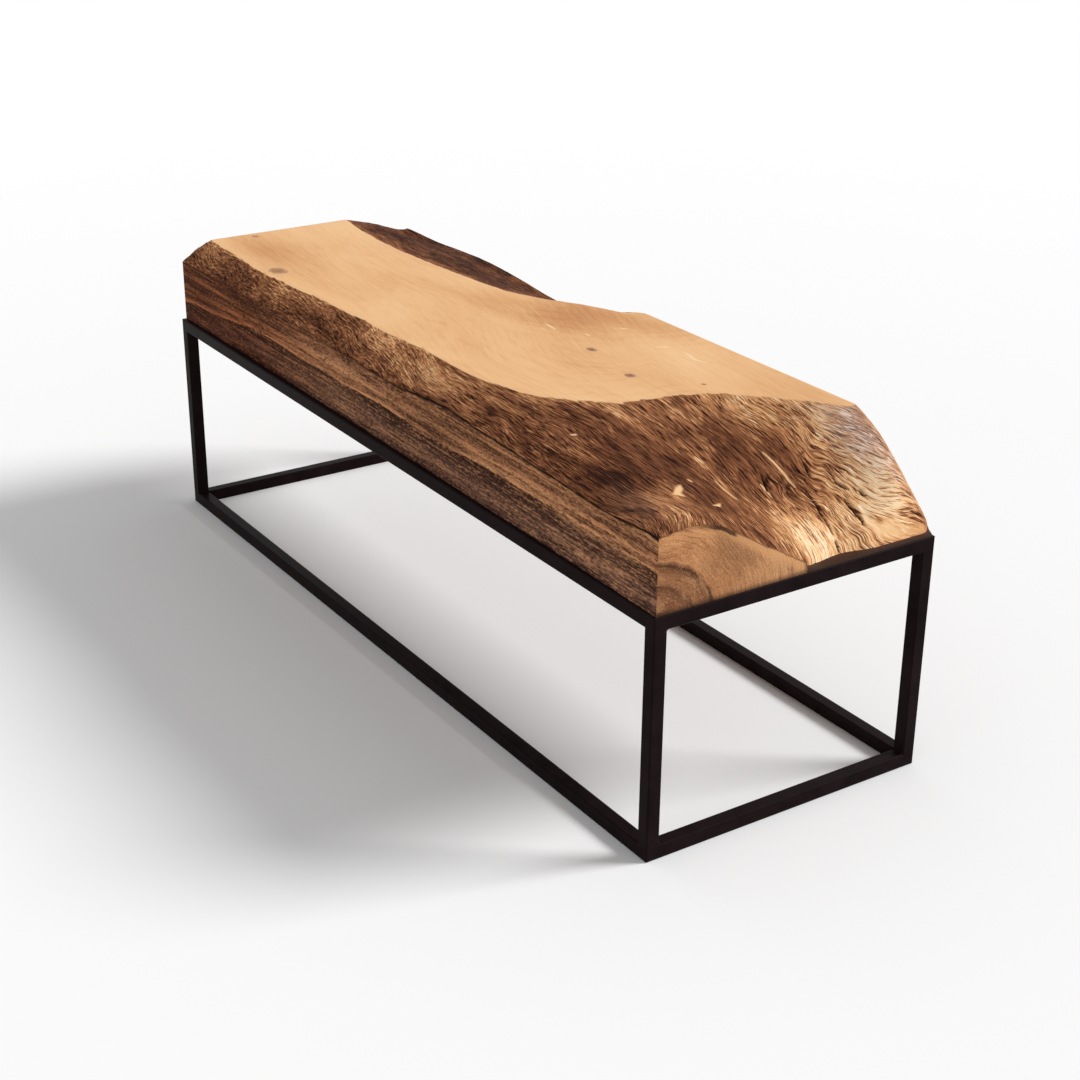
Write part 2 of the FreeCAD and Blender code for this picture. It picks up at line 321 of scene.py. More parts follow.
# Studio: the floor and where it fades, the surroundings' strength, and the sun with its spread in degrees
FLOOR_SIZE = 6.0
FADE_START = 1.5
FADE_END = 3.5
SOFT_LIGHT = 0.5
SEEN_LIGHT = 1.0
SUN_POWER = 2.5
SUN_SPREAD = 20.0
SUN_COURSE = Vector((-0.35, -0.70, -0.62))


def srgb(red, green, blue):
    """A colour given as it looks, from 0 to 255, as linear RGBA."""
    shares = [value / 255 for value in (red, green, blue)]
    linear = [s / 12.92 if s <= 0.04045 else ((s + 0.055) / 1.055) ** 2.4 for s in shares]
    return (*linear, 1.0)


# Smooth noise on arrays

def lattice_angle(ix, iy, seed):
    """A fixed pseudo-random angle for each lattice point."""
    h = (ix * 374761393 + iy * 668265263 + seed * 974711) & 0xFFFFFFFF
    h = ((h ^ (h >> 13)) * 1274126177) & 0xFFFFFFFF
    h = h ^ (h >> 16)
    return h / 2**32 * 2 * math.pi


def noise(x, y, seed):
    """Gradient noise, about -1 to 1, on a lattice of one unit."""
    ix = np.floor(x).astype(np.int64)
    iy = np.floor(y).astype(np.int64)
    fx = x - ix
    fy = y - iy

    def corner(dx, dy):
        angle = lattice_angle(ix + dx, iy + dy, seed)
        return np.cos(angle) * (fx - dx) + np.sin(angle) * (fy - dy)

    sx = fx**3 * (fx * (6 * fx - 15) + 10)
    sy = fy**3 * (fy * (6 * fy - 15) + 10)
    low = corner(0, 0) * (1 - sx) + corner(1, 0) * sx
    high = corner(0, 1) * (1 - sx) + corner(1, 1) * sx
    return 1.5 * (low * (1 - sy) + high * sy)


def waves(x, y, size, seed):
    """The same noise, with features of the given length and width."""
    return noise(x / size[0], y / size[1], seed)


def smooth_step(low, high, value):
    """Rises from 0 at low to 1 at high, level at both ends."""
    t = np.clip((value - low) / (high - low), 0, 1)
    return t * t * (3 - 2 * t)


def smooth_min(a, b, width):
    """The lesser of two values, rounded where they are nearer than the width."""
    overlap = np.maximum(width - np.abs(a - b), 0) / width
    return np.minimum(a, b) - overlap**2 * width / 4


def mounds(places, x, y):
    """A sum of soft mounds, each given as x, y, reach along x, reach along y, height."""
    total = np.zeros_like(x)
    for px, py, rx, ry, height in places:
        total += height * np.exp(-((x - px) / rx) ** 2 - ((y - py) / ry) ** 2)
    return total


# The log, as one closed mesh around the CAD log

def cast(tree, origin, direction):
    """Where a ray first meets the tree's faces, or None."""
    return tree.ray_cast(Vector(origin), Vector(direction))[0]


class LogForm:
    """The plan and the heights of the CAD log, read from the frame."""

    def __init__(self):
        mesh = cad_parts["log"].data
        corners = [v.co for v in mesh.vertices]
        self.tree = BVHTree.FromPolygons(corners, [p.vertices for p in mesh.polygons])
        low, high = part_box("log")
        self.bottom = low.z
        self.top = high.z
        self.far = low.x
        self.near = high.x
        self.front = low.y
        self.back = high.y
        self.probe = low.z + FOOT_LEAST / 2
        self.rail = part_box("top_rail_near")[0].x

    def front_at(self, x):
        return cast(self.tree, (x, self.back - 1, self.probe), (0, 1, 0)).y

    def near_at(self, y):
        hit = cast(self.tree, (self.near + 1, y, self.probe), (-1, 0, 0)).x
        return max(hit, self.rail + FOOT_ON_RAIL)

    def height_at(self, x, y):
        hit = cast(self.tree, (x, y, self.top + 1), (0, 0, -1))
        return hit.z if hit else self.bottom


form = LogForm()


def plan_grid():
    """Points of the log's plan, rows across Y and columns along X, and where each row ends."""
    columns = np.concatenate([
        np.arange(form.far, SLOPE_START, FAR_STEP),
        np.linspace(SLOPE_START, form.near, int((form.near - SLOPE_START) / NEAR_STEP)),
    ])
    share = (columns - form.far) / (form.near - form.far)
    inside = np.clip(columns, form.far + PLAN_INSET, form.near - PLAN_INSET)
    fronts = np.array([form.front_at(x) for x in inside])
    count = int((form.back - fronts.min()) / CROSS_STEP)
    across = np.linspace(0, 1, count)[:, None]
    y = fronts[None, :] + (form.back - fronts)[None, :] * across
    lines = np.linspace(fronts[-1], form.back, count)
    inside = np.clip(lines, fronts[-1] + PLAN_INSET, form.back - PLAN_INSET)
    nears = np.array([form.near_at(y_line) for y_line in inside])
    x = form.far + (nears[:, None] - form.far) * share[None, :]
    return x, y, nears


def plan_heights(x, y):
    """The CAD log's height over each point, read just inside its edges."""
    middle_y = (y[0] + y[-1]) / 2
    px = np.clip(x, form.far + HEIGHT_INSET, x[:, -1:] - HEIGHT_INSET)
    py = y - HEIGHT_INSET * np.sign(y - middle_y)
    heights = [form.height_at(a, b) for a, b in zip(px.ravel(), py.ravel())]
    return np.array(heights).reshape(x.shape)


def distance_to(mask, x, y, wanted):
    """How far each wanted point lies in plan from the nearest point of the mask."""
    tree = KDTree(int(mask.sum()))
    for index, (a, b) in enumerate(zip(x[mask], y[mask])):
        tree.insert((a, b, 0), index)
    tree.balance()
    distance = np.zeros_like(x)
    distance[wanted] = [tree.find((a, b, 0))[2] for a, b in zip(x[wanted], y[wanted])]
    return distance


def follow(slope_x, slope_y):
    """The field on a square grid whose slopes come nearest to the wanted ones."""
    step_x = (slope_x[:, 1:] + slope_x[:, :-1]) / 2 * TURN_STEP
    step_y = (slope_y[1:] + slope_y[:-1]) / 2 * TURN_STEP

    def spread(steps_x, steps_y):
        total = np.zeros_like(slope_x)
        total[:, 1:] += steps_x
        total[:, :-1] -= steps_x
        total[1:] += steps_y
        total[:-1] -= steps_y
        return total

    field = np.zeros_like(slope_x)
    rest = spread(step_x, step_y)
    move = rest.copy()
    size = (rest * rest).sum()
    for _ in range(TURN_ROUNDS):
        bent = spread(np.diff(move, axis=1), np.diff(move, axis=0))
        share = size / (move * bent).sum()
        field += share * move
        rest -= share * bent
        new_size = (rest * rest).sum()
        move = rest + new_size / size * move
        size = new_size
    return field


def fibre_lines(x, y, heights):
    """Coordinates along and across the fibres of the skin."""
    grid_x, grid_y = np.meshgrid(
        np.arange(form.far - TURN_STEP, form.near + 2 * TURN_STEP, TURN_STEP),
        np.arange(form.front - TURN_STEP, form.back + 2 * TURN_STEP, TURN_STEP),
    )
    weight = np.full_like(grid_x, STRAIGHT_WEIGHT)
    turn = np.zeros_like(grid_x)
    for turns, reach in ((FIBRE_TURNS, TURN_REACH), (GRAIN_TURNS, GRAIN_REACH)):
        for px, py, degrees in turns:
            near = np.exp(-((grid_x - px) ** 2 + (grid_y - py) ** 2) / reach**2)
            weight += near
            turn += near * math.radians(degrees)
    turn /= weight
    column = (x - grid_x[0, 0]) / TURN_STEP
    row = (y - grid_y[0, 0]) / TURN_STEP
    i = column.astype(int)
    j = row.astype(int)
    a = column - i
    b = row - j

    def read(field):
        low = field[j, i] * (1 - a) + field[j, i + 1] * a
        high = field[j + 1, i] * (1 - a) + field[j + 1, i + 1] * a
        return low * (1 - b) + high * b

    along = read(follow(np.cos(turn), np.sin(turn)))
    across = read(follow(-np.sin(turn), np.cos(turn)))
    drop = form.top - heights
    slope_share = smooth_step(*FIBRE_SLOPE_X, x)
    side = smooth_step(*FIBRE_SIDE_Y, y) * 2 - 1
    across = across + DROP_SHARE * side * drop * (1 - slope_share)
    along = along + DROP_SHARE * drop * slope_share
    for reach, size, seed in FIBRE_WANDER:
        across = across + reach * waves(x, y, size, seed)
    twist = sum(reach * waves(x, y, size, seed) for reach, size, seed in FIBRE_TWIST)
    return along, across + twist * mounds(GNARLED_PLACES, x, y)


def skin_relief(along, across, gnarl):
    """Height of the skin's ridges, how open each point is, and how much it lies in a crease; the last two
    become painted light and painted shade.
    """
    broad = waves(along, across, BROAD_WAVE, 1)
    ridge = waves(along, across, RIDGE_WAVE, 2)
    fine = waves(along, across, FINE_WAVE, 3)
    height = BROAD_HEIGHT * broad + RIDGE_HEIGHT * ridge + FINE_HEIGHT * fine
    crest_light = np.clip(0.5 + 0.5 * (0.40 * broad + 0.35 * ridge + 0.25 * fine) / 0.5, 0, 1)
    fold = np.abs(waves(along, across, FOLD_WAVE, 4))
    broken = smooth_step(-0.15, 0.25, waves(along, across, BREAK_WAVE, 5))
    height = height + FOLD_HEIGHT * gnarl * (np.minimum(fold, 0.5) - 0.25)
    crease_shade = gnarl * broken * (1 - smooth_step(0.0, 0.14, fold))
    return height, crest_light, crease_shade


def to_segment(x, y, start, end):
    """How far along a straight line from start to end each point lies, and how far from it."""
    run_x = end[0] - start[0]
    run_y = end[1] - start[1]
    share = ((x - start[0]) * run_x + (y - start[1]) * run_y) / (run_x**2 + run_y**2)
    share = np.clip(share, 0, 1)
    return share, np.hypot(x - start[0] - share * run_x, y - start[1] - share * run_y)


def chip_mask(x, y):
    """1 inside the bare chips of the skin, falling to 0 at their rims."""
    mask = np.zeros_like(x)
    for corners in SKIN_CHIPS:
        inside = np.zeros(x.shape, bool)
        away = np.full_like(x, np.inf)
        for start, end in zip(corners, corners[1:] + corners[:1]):
            slant = (end[0] - start[0]) / (end[1] - start[1])
            crosses = (start[1] > y) != (end[1] > y)
            inside ^= crosses & (x < start[0] + (y - start[1]) * slant)
            away = np.minimum(away, to_segment(x, y, start, end)[1])
        mask = np.maximum(mask, smooth_step(-CHIP_SOFT, CHIP_SOFT, np.where(inside, away, -away)))
    return mask


def stroke_mask(lines, width, x, y):
    """1 along the middle of each line through its points, falling to 0 at its sides and ends."""
    mask = np.zeros_like(x)
    for points in lines:
        for number, (start, end) in enumerate(zip(points[:-1], points[1:])):
            share, away = to_segment(x, y, start, end)
            gone = (number + share) / (len(points) - 1)
            reach = width * (0.35 + 0.65 * np.sin(math.pi * gone))
            mask = np.maximum(mask, 1 - smooth_step(0.2, 1.0, away / reach))
    return mask


def log_shape():
    """The log's top surface on the plan grid, with what its materials need to know of it."""
    x, y, nears = plan_grid()
    heights = plan_heights(x, y)
    flat = heights > form.top - FLAT_SLACK
    depth = distance_to(~flat, x, y, flat)
    outside = distance_to(flat, x, y, ~flat)
    reach = np.clip(1 - (nears[:, None] - x) / FOOT_STRETCH, 0, 1) ** 2
    corner = smooth_step(*FOOT_FROM_Y, y) * (1 - smooth_step(FOOT_TO_Y, form.back, y))
    x = x + np.maximum(form.near - FOOT_BACK - nears, 0)[:, None] * reach * corner
    along, across = fibre_lines(x, y, heights)
    gnarl = np.minimum(mounds(GNARLED_PLACES, x, y), 1)
    relief, crest_light, crease_shade = skin_relief(along, across, gnarl)
    scoop = smooth_step(*SCOOP_Y, y) * (1 - smooth_step(*SCOOP_X, x))
    chips = chip_mask(x, y)
    cracks = stroke_mask(SKIN_CRACKS, CRACK_WIDTH, x, y)
    strip = (1 - smooth_step(0.2, 1.0, (form.back - y) / BACK_STRIP)) * smooth_step(*STRIP_X, x)
    smooth = np.maximum(stroke_mask([SMOOTH_TONGUE], TONGUE_WIDTH, x, y), STRIP_SHARE * strip)
    lumps = LUMP_HEIGHT * waves(x, y, LUMP_WAVE, 31)
    relief = (relief + lumps) * (1 - SCOOP_CALM * scoop) * (1 - SMOOTH_CALM * np.maximum(chips, smooth))
    relief = relief - CHIP_DEPTH * chips - CRACK_DEPTH * cracks
    skin = np.where(flat, form.top + EDGE_RISE * depth, heights) + relief
    z = smooth_min(np.full_like(skin, form.top), skin, EDGE_ROUND)
    waney = (nears < form.near - WANEY_SLACK)[:, None]
    from_end = np.clip(nears[:, None] - x, 0, FOOT_ROUND)
    roll = FOOT_ROUND - np.sqrt(FOOT_ROUND**2 - (FOOT_ROUND - from_end) ** 2)
    z = np.where(waney, z - roll, z)
    z = z - np.maximum(z[:, -1:] - form.bottom - FOOT_LEAST, 0) * reach**2 * corner
    z = np.maximum(z, form.bottom + FOOT_LEAST)
    bare = np.clip(0.5 + (skin - form.top) / BARE_RANGE, 0, 1)
    worn_back = smooth_step(*WORN_Y, y) * smooth_step(*WORN_FROM_X, x) * (1 - smooth_step(*WORN_TO_X, x))
    edge_back = smooth_step(*WORN_EDGE_X, x)
    bare = np.maximum(bare, worn_back * np.maximum(edge_back, heights > form.top - WORN_DROP))
    return {
        "x": x,
        "y": y,
        "z": np.minimum(z, form.top),
        "along": along,
        "across": across,
        "bare": bare,
        "crest_light": crest_light * (1 - cracks),
        "crease_shade": crease_shade,
        "depth": depth,
        "rim": np.exp(-outside / RIM_REACH),
        "pale": mounds(PALE_PLACES, x, y),
        "dark": mounds(DARK_PLACES, x, y),
        "tan": mounds(TAN_PLACES, x, y),
        "chip": chips,
        "crack": cracks,
        "smooth": smooth,
        "streak": stroke_mask(PALE_STREAKS, STREAK_WIDTH, x, y),
        "fleck": stroke_mask(TOP_FLECKS, FLECK_WIDTH, x, y),
        "silver_and_glint": mounds(SILVER_AND_GLINT_PLACES, x, y),
        "wane": (1 - smooth_step(*WANE_X, x)) * (1 - smooth_step(*WANE_Y, y)),
    }


# What each point of the log's mesh tells its materials
MARKS = (
    "bare", "crest_light", "crease_shade", "depth", "rim", "pale", "dark", "tan", "silver_and_glint",
    "chip", "crack", "smooth", "streak", "fleck", "wane",
)
# The log's materials, in the order of its mesh's slots
TOP, SAWN, END_GRAIN = range(3)


def rim_lips(x, y, rows, cols):
    """How far the skin stands out over the wall under each point of the rim, along X and Y."""
    front = np.zeros_like(x)
    near = np.zeros_like(x)
    part = slice(0, cols)
    ends = smooth_step(*FRONT_LIP_FROM_X, x[part]) * (1 - smooth_step(*FRONT_LIP_TO_X, x[part]))
    front[part] = FRONT_LIP * ends * (0.7 + 0.5 * noise(x[part] / FRONT_LIP_LENGTH, x[part] * 0, 41))
    part = slice(cols, cols + rows - 1)
    starts = smooth_step(*NEAR_LIP_FROM_Y, y[part])
    near[part] = NEAR_LIP * starts * (1 - smooth_step(*NEAR_LIP_TO_Y, y[part]))
    return -near, front


def log_mesh(shape):
    """Joins the top surface, the sawn walls and the underside into one closed mesh."""
    rows, cols = shape["x"].shape
    index = np.arange(rows * cols).reshape(rows, cols)
    points = np.stack([shape["x"], shape["y"], shape["z"]], -1).reshape(-1, 3)
    rim = np.concatenate([index[0, :], index[1:, -1], index[-1, -2::-1], index[-2:0:-1, 0]])
    faces = np.stack([index[:-1, :-1], index[:-1, 1:], index[1:, 1:], index[1:, :-1]], -1).reshape(-1, 4)
    kinds = np.full(len(faces), TOP)

    rings = [rim]
    layers = [points]
    source = [np.arange(len(points))]
    start = len(points)
    lip_x, lip_y = rim_lips(points[rim, 0], points[rim, 1], rows, cols)
    apron = np.zeros(len(rim))
    apron[cols:cols + rows - 1] = form.near - shape["x"][1:, -1]
    for row in range(1, WALL_ROWS + 1):
        ring = points[rim].copy()
        below = (ring[:, 2] - form.bottom) * (row / WALL_ROWS) ** 2
        held = 1 - smooth_step(LIP_START, LIP_DEPTH, below)
        ring[:, 0] += lip_x * held + apron * (row / WALL_ROWS) ** 2
        ring[:, 1] += lip_y * held
        ring[:, 2] -= below
        layers.append(ring)
        source.append(rim)
        rings.append(np.arange(start, start + len(rim)))
        start += len(rim)
    wall_kinds = np.full(len(rim), SAWN)
    wall_kinds[cols - 1:cols + rows - 2] = END_GRAIN
    wall_kinds[2 * cols + rows - 3:] = END_GRAIN
    walls = []
    for upper, lower in zip(rings[:-1], rings[1:]):
        walls.append(np.stack([upper, lower, np.roll(lower, -1), np.roll(upper, -1)], -1))
    faces = np.concatenate([faces] + walls)
    kinds = np.concatenate([kinds] + [wall_kinds] * len(walls))

    mesh = bpy.data.meshes.new("log_timber")
    all_points = np.concatenate(layers)
    polygons = [tuple(map(int, f)) for f in faces] + [tuple(map(int, rings[-1][::-1]))]
    mesh.from_pydata([tuple(p) for p in all_points], [], polygons)
    kinds = np.append(kinds, SAWN).astype(np.int32)
    mesh.polygons.foreach_set("material_index", kinds)
    mesh.polygons.foreach_set("use_smooth", kinds == TOP)
    source = np.concatenate(source)
    for name in MARKS:
        layer = mesh.attributes.new(name, "FLOAT", "POINT")
        layer.data.foreach_set("value", shape[name].ravel()[source].astype(np.float32))
    below = points[source, 2] - all_points[:, 2]
    layer = mesh.attributes.new("under", "FLOAT", "POINT")
    layer.data.foreach_set("value", below.astype(np.float32))
    flow = np.stack([
        shape["along"].ravel()[source] + below,
        shape["across"].ravel()[source],
        np.zeros(len(source)),
    ], -1)
    layer = mesh.attributes.new("flow", "FLOAT_VECTOR", "POINT")
    layer.data.foreach_set("vector", flow.astype(np.float32).ravel())
    mesh.validate()
    mesh.update()
    return mesh


# Material nodes

class Tree:
    """A material's node tree, with short calls for the nodes used here."""

    def __init__(self, name):
        self.material = bpy.data.materials.new(name)
        self.material.use_nodes = True
        self.tree = self.material.node_tree
        self.shader = self.tree.nodes["Principled BSDF"]
        self.output = self.tree.nodes["Material Output"]

    def plug(self, socket, value):
        if isinstance(value, bpy.types.NodeSocket):
            self.tree.links.new(value, socket)
        else:
            socket.default_value = value

    def add(self, kind, inputs=None, **settings):
        made = self.tree.nodes.new("ShaderNode" + kind)
        for name, value in settings.items():
            setattr(made, name, value)
        for name, value in (inputs or {}).items():
            self.plug(made.inputs[name], value)
        return made

    def math(self, operation, a, b=0.0):
        return self.add("Math", {0: a, 1: b}, operation=operation).outputs[0]

    def times(self, a, b):
        return self.math("MULTIPLY", a, b)

    def total(self, *parts):
        """The sum of plain values and of pairs of a value and its share."""
        whole = None
        for part in parts:
            value = self.times(*part) if isinstance(part, tuple) else part
            whole = value if whole is None else self.math("ADD", whole, value)
        return whole

    def place(self):
        return self.add("TexCoord").outputs["Object"]

    def axes(self, vector):
        return self.add("SeparateXYZ", {0: vector}).outputs

    def attribute(self, name, output="Fac"):
        return self.add("Attribute", attribute_name=name).outputs[output]

    def stretched(self, vector, scale):
        return self.add("VectorMath", {0: vector, 1: scale}, operation="MULTIPLY").outputs[0]

    def length(self, vector):
        return self.add("VectorMath", {0: vector}, operation="LENGTH").outputs["Value"]

    def joined(self, first, second, third=0.0):
        return self.add("CombineXYZ", {0: first, 1: second, 2: third}).outputs[0]

    def sheared(self, vector, slope):
        """The same place with its second axis leaning over along the first."""
        first, second, third = self.axes(vector)
        return self.joined(first, self.total(second, (first, slope)), third)

    def around(self, place, centre, scale):
        """The place as seen from a centre and scaled along each axis, and its distance from there."""
        moved = self.add("VectorMath", {0: place, 1: centre}, operation="SUBTRACT").outputs[0]
        scaled = self.stretched(moved, scale)
        return scaled, self.length(scaled)

    def noise(self, vector, scale, detail=3.0, rough=0.5, distortion=0.0):
        """Noise round 0, about -0.5 to 0.5."""
        inputs = {"Vector": vector, "Scale": scale, "Detail": detail, "Roughness": rough}
        inputs["Distortion"] = distortion
        return self.math("SUBTRACT", self.add("TexNoise", inputs).outputs["Fac"], 0.5)

    def grain(self, vector, scale, detail=3.0, rough=0.5, distortion=0.0):
        """The same noise, with its own scale along each axis."""
        return self.noise(self.stretched(vector, scale), 1.0, detail, rough, distortion)

    def ramp(self, factor, stops):
        made = self.add("ValToRGB", {"Fac": factor})
        elements = made.color_ramp.elements
        while len(elements) < len(stops):
            elements.new(0.5)
        for element, (position, colour) in zip(elements, stops):
            element.position = position
            element.color = colour
        return made.outputs["Color"]

    def level(self, factor, low, high, out_low=0.0, out_high=1.0):
        inputs = {"Value": factor, "From Min": low, "From Max": high, "To Min": out_low, "To Max": out_high}
        return self.add("MapRange", inputs).outputs["Result"]

    def crisp(self, factor, reach):
        """Steepens a value round 0, to reach -0.5 and 0.5 at the given distance from 0."""
        return self.level(factor, -reach, reach, -0.5, 0.5)

    def mix(self, factor, a, b, blend="MIX"):
        made = self.add("Mix", data_type="RGBA", blend_type=blend)
        self.plug(made.inputs["Factor"], factor)
        self.plug(made.inputs[6], a)
        self.plug(made.inputs[7], b)
        return made.outputs[2]

    def blend(self, factor, a, b):
        return self.add("Mix", {0: factor, 2: a, 3: b}).outputs[0]

    def bump(self, height, strength, distance):
        inputs = {"Height": height, "Strength": strength, "Distance": distance}
        return self.add("Bump", inputs).outputs["Normal"]

    def finish(self, colour, roughness, normal=None):
        self.plug(self.shader.inputs["Base Color"], colour)
        self.plug(self.shader.inputs["Roughness"], roughness)
        if normal is not None:
            self.plug(self.shader.inputs["Normal"], normal)
        return self.material


def sanded_look(t):
    """The sanded and oiled top: honey, with fine grain, faint growth lines and a few knots."""
    place = t.place()
    flow = t.attribute("flow", "Vector")
    clouds = t.grain(place, (2.5, 6.0, 1.0), 4.0, 0.55, 0.8)
    grain = t.grain(flow, (8.0, 140.0, 1.0), 3.0, 0.6, 0.2)
    fibres = t.grain(flow, (34.0, 560.0, 1.0), 2.0, 0.6)
    depth = t.total(t.attribute("depth"), (clouds, 0.10), (grain, 0.004))
    line = t.level(t.math("SINE", t.times(depth, 260.0)), 0.3, 1.0)
    broken = t.level(t.grain(place, (9.0, 14.0, 1.0), 2.0), -0.05, 0.12)
    tone = t.total(
        0.64,
        (clouds, 0.80),
        (grain, 0.34),
        (fibres, 0.30),
        (t.times(line, broken), -0.06),
        (t.attribute("tan"), -0.42),
    )
    colour = t.ramp(tone, [
        (0.18, srgb(198, 140, 92)),
        (0.38, srgb(218, 163, 112)),
        (0.60, srgb(234, 184, 133)),
        (0.85, srgb(244, 199, 149)),
    ])
    colour = t.mix(t.times(t.attribute("fleck"), 0.85), colour, srgb(252, 222, 180))
    for x, y, length, width, strength in TOP_KNOTS:
        colour = knot(t, place, colour, x, y, length, width, strength)
    return colour, t.level(grain, -0.2, 0.2, 0.42, 0.54), t.times(fibres, 0.00010)


def knot(t, place, colour, x, y, length, width, strength):
    """Lays one knot over the colour: a dark heart, a brown rim and a paler ring of turned grain."""
    scaled, away = t.around(place, (x, y, form.top), (1 / length, 1 / width, 0.0))
    away = t.total(away, (t.noise(scaled, 1.8, 4.0, 0.65), 1.3))
    ring = t.ramp(t.level(away, 0.0, 2.6), [
        (0.00, srgb(96, 62, 44)),
        (0.20, srgb(132, 90, 64)),
        (0.34, srgb(176, 128, 92)),
        (0.46, srgb(228, 184, 138)),
        (0.70, srgb(214, 164, 114)),
        (1.00, srgb(224, 176, 126)),
    ])
    cover = t.times(t.level(away, 0.9, 2.0, 1.0, 0.0), strength)
    return t.mix(cover, colour, ring)


def skin_look(t):
    """The natural skin: brown and furrowed, darkened in its grooves, creases and cracks partly by painted
    shade, with painted highlights on its fibres, cream where it is rubbed.
    """
    flow = t.attribute("flow", "Vector")
    leaning = t.sheared(flow, 0.13)
    crossing = t.sheared(flow, -0.10)
    smooth = t.attribute("smooth")
    silver_and_glint = t.attribute("silver_and_glint")
    wane = t.attribute("wane")
    calm = t.times(t.level(smooth, 0.0, 1.0, 1.0, 0.25), t.level(wane, 0.0, 1.0, 1.0, 0.60))
    specks = t.crisp(t.grain(flow, (90.0, 360.0, 1.0), 2.0, 0.7), 0.14)
    bands = t.crisp(t.grain(flow, (17.0, 90.0, 1.0), 2.0, 0.55), 0.20)
    mottle = t.grain(flow, (9.0, 32.0, 1.0), 4.0, 0.6, 0.5)
    patch = t.level(t.grain(flow, (24.0, 70.0, 1.0), 2.0), -0.08, 0.10, 0.35, 1.0)
    threads = t.level(t.grain(flow, (30.0, 540.0, 1.0), 2.0, 0.6), -0.15, 0.03, -0.5, 0.14)
    long_threads = t.level(t.grain(flow, (15.0, 500.0, 1.0), 2.0, 0.6), -0.15, 0.03, -0.5, 0.14)
    dark = t.attribute("dark")
    threads = t.blend(t.level(dark, 0.12, 0.45), threads, long_threads)
    threads = t.times(threads, patch)
    # Fine light lines: partly pale fibres, partly painted highlights on their ridges
    light = t.math(
        "MAXIMUM",
        t.level(t.grain(flow, (36.0, 620.0, 1.0), 1.0), 0.085, 0.12),
        t.level(t.grain(leaning, (44.0, 700.0, 1.0), 1.0), 0.10, 0.135),
    )
    # Fine dark lines: partly dark fibres, partly painted shade in the grooves between them
    dark_fibres_and_shade = t.math(
        "MAXIMUM",
        t.level(t.grain(flow, (28.0, 440.0, 1.0), 1.0), -0.07, -0.11),
        t.level(t.grain(crossing, (36.0, 510.0, 1.0), 1.0), -0.09, -0.13),
    )
    pale = t.attribute("pale")
    pale_fibres_and_highlights = t.times(t.times(light, patch), t.level(pale, 0.0, 0.8, 0.24, 0.42))
    pale_fibres_and_highlights = t.times(pale_fibres_and_highlights, t.level(dark, 0.0, 0.5, 1.0, 0.55))
    dark_fibres_and_shade = t.times(dark_fibres_and_shade, t.level(dark, 0.0, 0.5, 1.0, 0.7))
    lines = t.times(calm, t.total((threads, 0.66), pale_fibres_and_highlights, (dark_fibres_and_shade, -0.36)))
    # The tone takes painted light from how open each point is and painted shade from the creases
    tone = t.total(
        0.345,
        lines,
        (wane, -0.025),
        (t.attribute("crest_light"), 0.05),
        (t.attribute("crease_shade"), -0.34),
        (t.times(calm, bands), 0.09),
        (mottle, 0.78),
        (t.times(wane, specks), 0.36),
        (smooth, 0.20),
        (pale, 0.48),
        (t.attribute("rim"), 0.16),
        (dark, -0.18),
    )
    colour = t.ramp(tone, [
        (0.02, srgb(38, 19, 12)),
        (0.20, srgb(80, 46, 30)),
        (0.40, srgb(128, 80, 53)),
        (0.60, srgb(182, 125, 84)),
        (0.78, srgb(230, 175, 122)),
        (0.92, srgb(248, 202, 150)),
        (1.00, srgb(255, 224, 184)),
    ])
    colour = t.mix(t.times(silver_and_glint, 0.50), colour, srgb(198, 164, 146))
    # Painted highlights: near-white glints on the fibres of the silvery places
    glint = t.times(silver_and_glint, t.math("MAXIMUM", light, t.level(threads, 0.0, 0.14, 0.0, 0.35)))
    colour = t.mix(t.times(glint, 0.85), colour, srgb(255, 236, 224))
    # Painted shade: the open cracks are painted near black inside
    colour = t.mix(t.attribute("crack"), colour, srgb(22, 13, 9))
    chipped = t.math("MAXIMUM", t.attribute("chip"), t.attribute("streak"))
    colour = t.mix(chipped, colour, srgb(236, 190, 140))
    height = t.total((lines, 0.0005), (t.times(calm, bands), 0.0006))
    return colour, t.level(threads, -0.5, 0.14, 0.60, 0.75), height


def top_material():
    """The sanded top and the natural skin, which meet along a ragged line."""
    t = Tree("log_top")
    sanded, sanded_rough, sanded_height = sanded_look(t)
    skin, skin_rough, skin_height = skin_look(t)
    flow = t.attribute("flow", "Vector")
    ragged = t.grain(flow, (45.0, 180.0, 1.0), 3.0, 0.6)
    bare = t.level(t.total(t.attribute("bare"), (ragged, 0.3)), 0.38, 0.62)
    height = t.blend(bare, skin_height, sanded_height)
    rough = t.blend(bare, skin_rough, sanded_rough)
    t.shader.inputs["Specular IOR Level"].default_value = 0.02
    return t.finish(t.mix(bare, skin, sanded), rough, t.bump(height, 1.0, 1.0))


